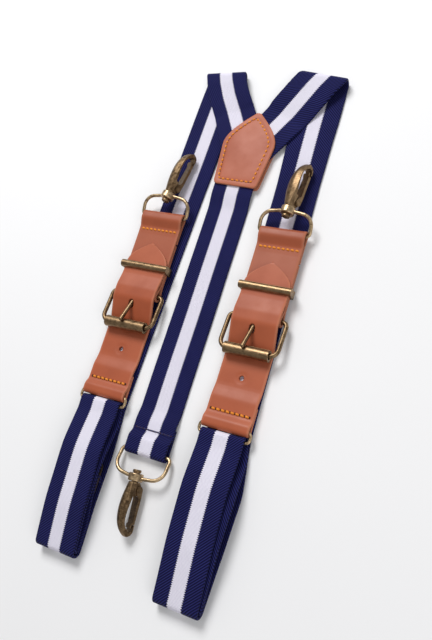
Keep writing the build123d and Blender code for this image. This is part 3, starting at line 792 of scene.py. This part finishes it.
def upper_leather(side):
    """The doubled leather: one strip folded round the D-ring bar and round the buckle bar."""
    low, high = box_mm(side + "_upper_leather")
    x = (low.x + high.x) / 2
    dee_y, dee_z = DRING_BAR
    bar_y, bar_z = BUCKLE_BAR
    wrap_d = DRING_WIRE_R + WRAP_GAP + LEATHER_T / 2
    wrap_b = BUCKLE_BAR_R + BUCKLE_GAP + LEATHER_T / 2
    under = UPPER_LOW_Z + LEATHER_T / 2
    upper = UPPER_TOP_Z - LEATHER_T / 2
    corners = [
        (dee_y - 15.5, under - 0.02, 0), (dee_y - 4.5, under, 6.0), (dee_y, dee_z - wrap_d, 2.0),
        (dee_y + wrap_d, dee_z - wrap_d, wrap_d - 0.05),
        (dee_y + wrap_d, dee_z + wrap_d, wrap_d - 0.05),
        (dee_y - 2.4, dee_z + wrap_d + 0.5, 4.0), (dee_y - 7.0, upper + 0.25, 4.0),
        (dee_y - 12.0, upper, 12.0),
        (bar_y + 6.0, upper, 6.0), (bar_y + 1.0, bar_z + wrap_b, 2.5),
        (bar_y - wrap_b, bar_z + wrap_b, wrap_b - 0.05),
        (bar_y - wrap_b, bar_z - wrap_b, wrap_b - 0.05),
        (bar_y + 1.0, bar_z - wrap_b, 2.5), (bar_y + 6.0, under, 6.0), (dee_y - 16.5, under, 0),
    ]
    line = tab_line(x, corners, 1.0)

    def drooped(at, a, n, distance, normal):
        return at - normal * (0.1 * (abs(a) / (LEATHER_W / 2)) ** 4)

    section = band_section(LEATHER_W / 2, LEATHER_T - 0.06, LEATHER_CORNER, 20)
    section = [(a, n, e, 1.0 - f) for a, n, e, f in section]
    # the upper leather takes the darker copy of the leather: painted shade around the lower leather's
    # tip
    piece = band(side + "_tab_top", stations_of(line), section, MAT["leather_painted_shade"], drooped)
    slot = punch(x, bar_y - 1.0, 5.0, EYE_SLOT_R, 14.0, 2.0)
    boolean_cut(piece, [slot])
    return finished(piece, side + "_tab", "leather", side + "_upper_leather")


for side in SIDES:
    lower_leather(side)
    upper_leather(side)


# ------------------------------------------------------------------ leather patch
PATCH_COLUMNS = 84
PATCH_BOTTOM, PATCH_WAIST_Y, PATCH_APEX = 73.6, 99.6, 122.9
PATCH_HALF_BOTTOM, PATCH_HALF_WAIST = 13.9, 16.7
PATCH_X, PATCH_TURN = 0.3, -1.8        # middle, and turn about it in degrees


def shield_side():
    """Right side of the shield, bottom to apex: a near-straight side, then one arc of the arch."""
    waist, apex = Vector((PATCH_HALF_WAIST, PATCH_WAIST_Y, 0)), Vector((0, PATCH_APEX, 0))
    lean = Vector((0.06, 1.0, 0)) * 8.6
    shoulder = Vector((0.74, -0.67, 0)) * 9.4
    line = [Vector((PATCH_HALF_BOTTOM, PATCH_BOTTOM, 0)).lerp(waist, k / 12) for k in range(12)]
    for k in range(25):
        t = k / 24
        low = waist * (1 - t) ** 3 + (waist + lean) * (3 * t * (1 - t) ** 2)
        line.append(low + (apex + shoulder) * (3 * t * t * (1 - t)) + apex * t ** 3)
    return line


def patch_outline(inset):
    """Points round the shield, pulled in by inset millimetres."""
    side = shield_side()
    pulled = []
    for k, here in enumerate(side):
        along = (side[min(k + 1, len(side) - 1)] - side[max(k - 1, 0)]).normalized()
        pulled.append(here + Vector((-along.y, along.x, 0)) * inset)
    bottom = PATCH_BOTTOM + inset
    kept = [p for p in pulled if p.x > 0.6 + inset * 0.1 and p.y > bottom + 0.3]
    first, second = kept[0], kept[1]
    corner = first + (second - first) * ((bottom - first.y) / (second.y - first.y))
    last, before = kept[-1], kept[-2]
    top = last + (last - before) * (last.x / (before.x - last.x))
    right = [Vector((0, bottom, 0)), corner] + kept + [top]
    left = [Vector((-p.x, p.y, 0)) for p in reversed(kept)]
    loop = right + left + [Vector((-corner.x, bottom, 0)), Vector((0, bottom, 0))]
    radii = []
    for p in loop[1:-1]:
        if (p - corner).length < 1e-6 or (p - Vector((-corner.x, bottom, 0))).length < 1e-6:
            radii.append(max(0.3, 2.2 - inset * 0.5))
        else:
            radii.append(max(1.2, 2.6 - inset * 0.2) if (p - top).length < 1e-6 else 0)
    whole = rounded_path(loop, radii, step=1.0, arc_step=12)[:-1]
    turn = Matrix.Rotation(math.radians(PATCH_TURN), 3, "Z")
    pivot = Vector((PATCH_X, PATCH_WAIST_Y, 0))
    away = Vector((0, PATCH_WAIST_Y, 0))
    return resampled([pivot + turn @ (p - away) for p in whole], PATCH_COLUMNS)


def resampled(loop, count):
    """The same closed loop with evenly spaced points."""
    closed = loop + [loop[0]]
    lengths = [0.0]
    for a, b in zip(closed, closed[1:]):
        lengths.append(lengths[-1] + (b - a).length)
    out, k = [], 0
    for i in range(count):
        goal = lengths[-1] * i / count
        while lengths[k + 1] < goal:
            k += 1
        t = (goal - lengths[k]) / max(1e-9, lengths[k + 1] - lengths[k])
        out.append(closed[k].lerp(closed[k + 1], t))
    return out


def patch_layer(name, node, up):
    """One leather shield with rounded cut edges, a sewn groove and a slightly full middle."""
    low, high = box_mm(node)
    bottom, top = low.z, high.z
    grain, flesh = (top, bottom) if up > 0 else (bottom, top)
    s = up
    # (inset, height, cut edge, flesh side) of each ring, from the outline inwards
    profile = [
        (0.0, grain - s * 0.45, 1.0, 0.0), (0.12, grain - s * 0.18, 1.0, 0.0),
        (0.4, grain - s * 0.03, 0.7, 0.0), (0.8, grain, 0.15, 0.0),
        (1.6, grain, 0.0, 0.0), (2.5, grain - s * 0.04, 0.0, 0.0),
        (3.0, grain - s * 0.16, 0.0, 0.0), (3.5, grain - s * 0.04, 0.0, 0.0),
        (4.6, grain + s * 0.05, 0.0, 0.0), (7.0, grain + s * 0.12, 0.0, 0.0),
        (10.0, grain + s * 0.15, 0.0, 0.0),
    ]
    bm = bmesh.new()
    cut = bm.verts.layers.float.new("cut_edge")
    side_mark = bm.verts.layers.float.new("flesh_side")
    rings = []
    under = [
        (8.0, flesh, 0.0, 1.0), (4.0, flesh, 0.0, 1.0),
        (0.3, flesh, 0.6, 1.0), (0.0, flesh + s * 0.3, 1.0, 0.5),
    ]
    for inset, z, edge, back in under + profile:
        ring = []
        for p in patch_outline(inset):
            vert = bm.verts.new((p.x, p.y, z))
            vert[cut], vert[side_mark] = edge, back
            ring.append(vert)
        rings.append(ring)
    for low_ring, high_ring in zip(rings, rings[1:]):
        for k in range(PATCH_COLUMNS):
            n = (k + 1) % PATCH_COLUMNS
            bm.faces.new((low_ring[k], low_ring[n], high_ring[n], high_ring[k]))
    bm.faces.new(rings[0][::-1])
    bm.faces.new(rings[-1])
    piece = object_from(name, bm, MAT["leather"])
    return finished(piece, "webbing", "leather", node)


patch_layer("patch_top", "patch_front", 1)
patch_layer("patch_under", "patch_back", -1)


# ------------------------------------------------------------------ sewing
def thread_stitch(bm, start, end, up, radius, material_index):
    """One stitch: a short thread that rises out of the leather and dives back in."""
    along = end - start
    side = along.normalized().cross(up)
    rings = []
    steps, around = 8, 8
    for i in range(steps + 1):
        t = i / steps
        lift = 1 - (2 * t - 1) ** 4
        centre = start + along * t + up * (radius * (1.15 * lift - 0.75))
        r = radius * (0.55 + 0.45 * math.sin(math.pi * min(max(t, 0.02), 0.98)) ** 0.5)
        ring = []
        for k in range(around):
            turn = 2 * math.pi * k / around
            at = centre + side * (r * math.cos(turn)) + up * (r * 0.85 * math.sin(turn))
            ring.append(bm.verts.new(at))
        rings.append(ring)
    faces = []
    for low, high in zip(rings, rings[1:]):
        for k in range(around):
            n = (k + 1) % around
            faces.append(bm.faces.new((low[k], low[n], high[n], high[k])))
    faces.append(bm.faces.new(rings[0][::-1]))
    faces.append(bm.faces.new(rings[-1]))
    for face in faces:
        face.material_index = material_index


def needle_hole_painted_shade(bm, at, up, radius, material_index):
    """A shallow dimple where a stitch goes in, dark with painted shade."""
    side = up.orthogonal().normalized()
    other = up.cross(side)
    low, high = [], []
    for k in range(10):
        turn = 2 * math.pi * k / 10
        away = side * math.cos(turn) + other * math.sin(turn)
        high.append(bm.verts.new(at + away * radius + up * 0.03))
        low.append(bm.verts.new(at + away * radius * 0.7 - up * 0.25))
    faces = [bm.faces.new(high), bm.faces.new(low[::-1])]
    for k in range(10):
        n = (k + 1) % 10
        faces.append(bm.faces.new((low[k], low[n], high[n], high[k])))
    for face in faces:
        face.material_index = material_index


def sewn_line(name, line, closed, stitch, pitch, radius, thread, body, slot_name, node, slant=0.0):
    """Stitches and their needle holes along a line that lies on a surface."""
    rng = random.Random(len(name))
    path = line + [line[0]] if closed else line
    lengths = [0.0]
    for a, b in zip(path, path[1:]):
        lengths.append(lengths[-1] + (b - a).length)
    up = Vector((0, 0, 1))

    def along(goal):
        goal = min(max(goal, 0.0), lengths[-1])
        k = max(i for i, d in enumerate(lengths[:-1]) if d <= goal)
        t = (goal - lengths[k]) / max(1e-9, lengths[k + 1] - lengths[k])
        return path[k].lerp(path[k + 1], t)

    count = round(lengths[-1] / pitch)
    step = lengths[-1] / count
    bm = bmesh.new()
    for i in range(count):
        begin = i * step + (step - stitch) / 2
        a, b = along(begin), along(begin + stitch)
        off = (b - a).normalized().cross(up) * (slant + rng.uniform(-0.06, 0.06))
        thread_stitch(bm, a - off, b + off, up, radius, 0)
        # each needle hole is a small dimple coloured with painted shade
        needle_hole_painted_shade(bm, along(i * step), up, radius * 1.15, 1)
    if not closed:
        needle_hole_painted_shade(bm, along(lengths[-1]), up, radius * 1.15, 1)
    piece = object_from(name, bm, [thread, MAT["hole"]])
    return finished(piece, body, slot_name, node)


def straight(x, y, z, width, parts=12):
    """A straight row across a strap, from left to right."""
    return [Vector((x - width / 2 + width * k / parts, y, z)) for k in range(parts + 1)]


PATCH_SEAM_INSET = 3.2
PATCH_SEAM_SHIFT = -0.6        # the seam sits a little off the patch's middle
PATCH_SEAM_SINK = 0.14         # and lies in a groove
BACK_SEAM_Y, BACK_SEAM_W = -74.8, 22.0
TOP_SEAM_Y, TOP_SEAM_W = 38.8, 24.2
LOW_SEAM_Y, LOW_SEAM_W = -54.4, 22.4


def sew_patch():
    face_z = box_mm("patch_front")[1].z - PATCH_SEAM_SINK
    line = [Vector((p.x + PATCH_SEAM_SHIFT, p.y, face_z)) for p in patch_outline(PATCH_SEAM_INSET)]
    sewn_line("patch_seam", line, True, 2.0, 3.0, 0.55, MAT["orange"],
              "webbing", "orange_thread", "patch_stitching", 0.12)


def sew_back_strap():
    face_z = 2 * WEB_T + LAYER_GAP + 0.05
    line = straight(middle_mm("back_strap").x, BACK_SEAM_Y, face_z, BACK_SEAM_W)
    sewn_line("back_seam", line, False, 2.0, 2.3, 0.42, MAT["navy_thread"],
              "webbing", "navy_thread", "back_strap_stitching")


def sew_tab(side):
    tab_x = middle_mm(side + "_upper_leather").x
    sewn_line(side + "_top_seam", straight(tab_x, TOP_SEAM_Y, UPPER_TOP_Z + 0.02, TOP_SEAM_W),
              False, 2.3, 2.69, 0.62, MAT["orange"],
              side + "_tab", "orange_thread", side + "_upper_stitching", 0.25)
    flat_z = RING_Z - (RING_WIRE_R + WRAP_GAP + LEATHER_T / 2)
    doubled_top = flat_z + 1.5 * LEATHER_T + LAYER_GAP
    sewn_line(side + "_low_seam", straight(tab_x, LOW_SEAM_Y, doubled_top + 0.02, LOW_SEAM_W),
              False, 2.4, 2.8, 0.62, MAT["orange"],
              side + "_tab", "orange_thread", side + "_lower_stitching", 0.25)


sew_patch()
sew_back_strap()
for side in SIDES:
    sew_tab(side)


# ------------------------------------------------------------------ metal parts
def dress(node, material, bevel=0.0, segments=2):
    """Gives a CAD node its material, smooth shading and softened edges."""
    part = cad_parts[node]
    part.data.materials.clear()
    part.data.materials.append(material)
    part.data.shade_smooth()
    if bevel:
        weld = part.modifiers.new("weld", "WELD")
        weld.merge_threshold = 1e-6
        soft = part.modifiers.new("soft edges", "BEVEL")
        soft.width = bevel * MM
        soft.segments = segments
        soft.limit_method = "ANGLE"
        soft.angle_limit = math.radians(38)
        soft.harden_normals = False
    sharp = part.modifiers.new("normals", "WEIGHTED_NORMAL")
    sharp.keep_sharp = True
    return part


for side in SIDES:
    dress(side + "_lower_ring", MAT["ring"])
    dress(side + "_buckle_frame", MAT["brass"])
    dress(side + "_buckle_roller", MAT["brass"], 0.12)
    dress(side + "_buckle_prong", MAT["brass"], 0.15)
    dress(side + "_keeper", MAT["brass"], 0.2)
    dress(side + "_slider", MAT["dark"])
for name in HOOKS:
    dress(name + "_d_ring", MAT["ring"], 0.12)
    dress(name + "_hook_body", MAT["brass"], 0.35, 3)
    dress(name + "_hook_gate", MAT["brass"], 0.18)
    dress(name + "_gate_pin", MAT["brass"])
    dress(name + "_gate_spring", MAT["steel"])


# ------------------------------------------------------------------ floor, light, camera
FLOOR_HALF = 3.0               # metres
FLOOR_GAP = 0.0001


def make_floor():
    """A plain pale sheet with a very faint tooth."""
    bm = bmesh.new()
    bmesh.ops.create_grid(bm, x_segments=2, y_segments=2, size=FLOOR_HALF / MM)
    material, tree, shader = new_material("pale_floor")
    tone = noise_of(tree, object_point(tree), 8.0)
    pale = mix(tree, tone, (0.86, 0.86, 0.87, 1), (0.89, 0.89, 0.9, 1))
    tree.links.new(pale, shader.inputs["Base Color"])
    shader.inputs["Roughness"].default_value = 0.8
    floor = object_from("floor", bm, material, smooth=False)
    floor.location.z = CAD_BOX[0].z - FLOOR_GAP


def area_light(name, at, size, power):
    """A round lamp aimed at the origin."""
    data = bpy.data.lights.new(name, "AREA")
    data.shape = "DISK"
    data.size = size
    data.energy = power
    lamp = bpy.data.objects.new(name, data)
    lamp.location = at
    lamp.rotation_mode = "QUATERNION"
    lamp.rotation_quaternion = (-Vector(at)).to_track_quat("-Z", "Y")
    bpy.context.scene.collection.objects.link(lamp)


def make_light():
    """A soft key lamp beyond the top edge, a weak fill, and a pale room."""
    area_light("key", (-0.35, 0.75, 0.95), 0.6, 13.0)
    area_light("fill", (0.9, -0.5, 0.8), 0.8, 3.6)
    world = bpy.data.worlds.new("studio")
    bpy.context.scene.world = world
    world.use_nodes = True
    back = world.node_tree.nodes["Background"]
    back.inputs["Color"].default_value = (1.0, 1.0, 1.0, 1.0)
    back.inputs["Strength"].default_value = 0.36


# The viewpoint, in millimetres from the origin, and the point on the table that it looks at
EYE = Vector((176.7, -84.2, 337.4))
LOOK_AT = Vector((12.4, -6.4, 0.0))
VIEW_UP = Vector((-0.184, 0.934, 0.305))
LENS_MM = 38.72
SENSOR_MM = 36.0


def make_camera():
    """The photographer's place: above and to the right, turned so that the object leans."""
    data = bpy.data.cameras.new("camera")
    data.lens = LENS_MM
    data.sensor_width = SENSOR_MM
    data.sensor_fit = "AUTO"
    data.clip_start, data.clip_end = 0.01, 20.0
    data.dof.use_dof = False
    camera = bpy.data.objects.new("camera", data)
    bpy.context.scene.collection.objects.link(camera)
    back = (EYE - LOOK_AT).normalized()
    right = VIEW_UP.cross(back).normalized()
    up = back.cross(right)
    turn = Matrix((right, up, back)).transposed().to_4x4()
    camera.matrix_world = Matrix.Translation(EYE * MM) @ turn
    bpy.context.scene.camera = camera


make_floor()
make_light()
make_camera()
bpy.context.scene.view_settings.view_transform = "Standard"
